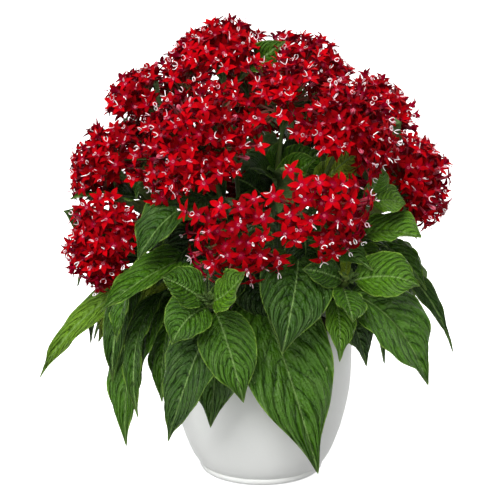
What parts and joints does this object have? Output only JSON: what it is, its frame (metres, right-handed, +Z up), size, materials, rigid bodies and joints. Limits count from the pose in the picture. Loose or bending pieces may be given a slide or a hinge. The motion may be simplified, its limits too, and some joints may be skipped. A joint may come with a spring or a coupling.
{
  "type": "potted pentas",
  "caption": "Bushy house plant with domed heads of star-shaped red florets over pointed veined leaves, in a plain round pale pot.",
  "frame": {"origin": "centre of the flat foot of the pot, on the surface it stands on", "axes": "+Z is up; -Y is the front, with the largest hanging leaf; +X is to the right seen from the front"},
  "size_m": [0.287, 0.2809, 0.3199],
  "materials": {
    "pot": "smooth satin, pale warm grey-white",
    "soil": "crumbly dark brown potting soil, matt",
    "leaf": "deep green, softly glossy, with sunken veins and a paler midrib",
    "bloom": "velvety deep red petals with a pinkish white eye"
  },
  "bodies": {
    "root": {"pot": "pot", "soil": "soil", "leafy_stem_crown_left": "leaf", "leafy_stem_crown_right": "leaf", "leafy_stem_shoulder_left": "leaf", "leafy_stem_shoulder_right": "leaf", "leafy_stem_front_high": "leaf", "leafy_stem_front_middle": "leaf", "leafy_stem_front_right": "leaf", "leafy_stem_upper_left": "leaf", "leafy_stem_lower_left": "leaf", "leafy_stem_far_right": "leaf", "leafy_stem_front_low_left": "leaf", "leafy_stem_front_low_right": "leaf", "leafy_stem_back_left": "leaf", "leafy_stem_back_right": "leaf", "leafy_stem_back_crown": "leaf", "leafy_stem_back_low": "leaf", "leafy_stem_back_shoulder": "leaf", "leafy_stem_shoot_front_left": "leaf", "leafy_stem_shoot_front_right": "leaf", "leafy_stem_shoot_right": "leaf", "leafy_stem_shoot_back_left": "leaf", "leafy_stem_shoot_back_right": "leaf", "bloom_crown_left": "bloom", "bloom_crown_right": "bloom", "bloom_shoulder_left": "bloom", "bloom_shoulder_right": "bloom", "bloom_front_high": "bloom", "bloom_front_middle": "bloom", "bloom_front_right": "bloom", "bloom_upper_left": "bloom", "bloom_lower_left": "bloom", "bloom_far_right": "bloom", "bloom_front_low_left": "bloom", "bloom_front_low_right": "bloom", "bloom_back_left": "bloom", "bloom_back_right": "bloom", "bloom_back_crown": "bloom", "bloom_back_low": "bloom", "bloom_back_shoulder": "bloom"}
  },
  "joints": []
}
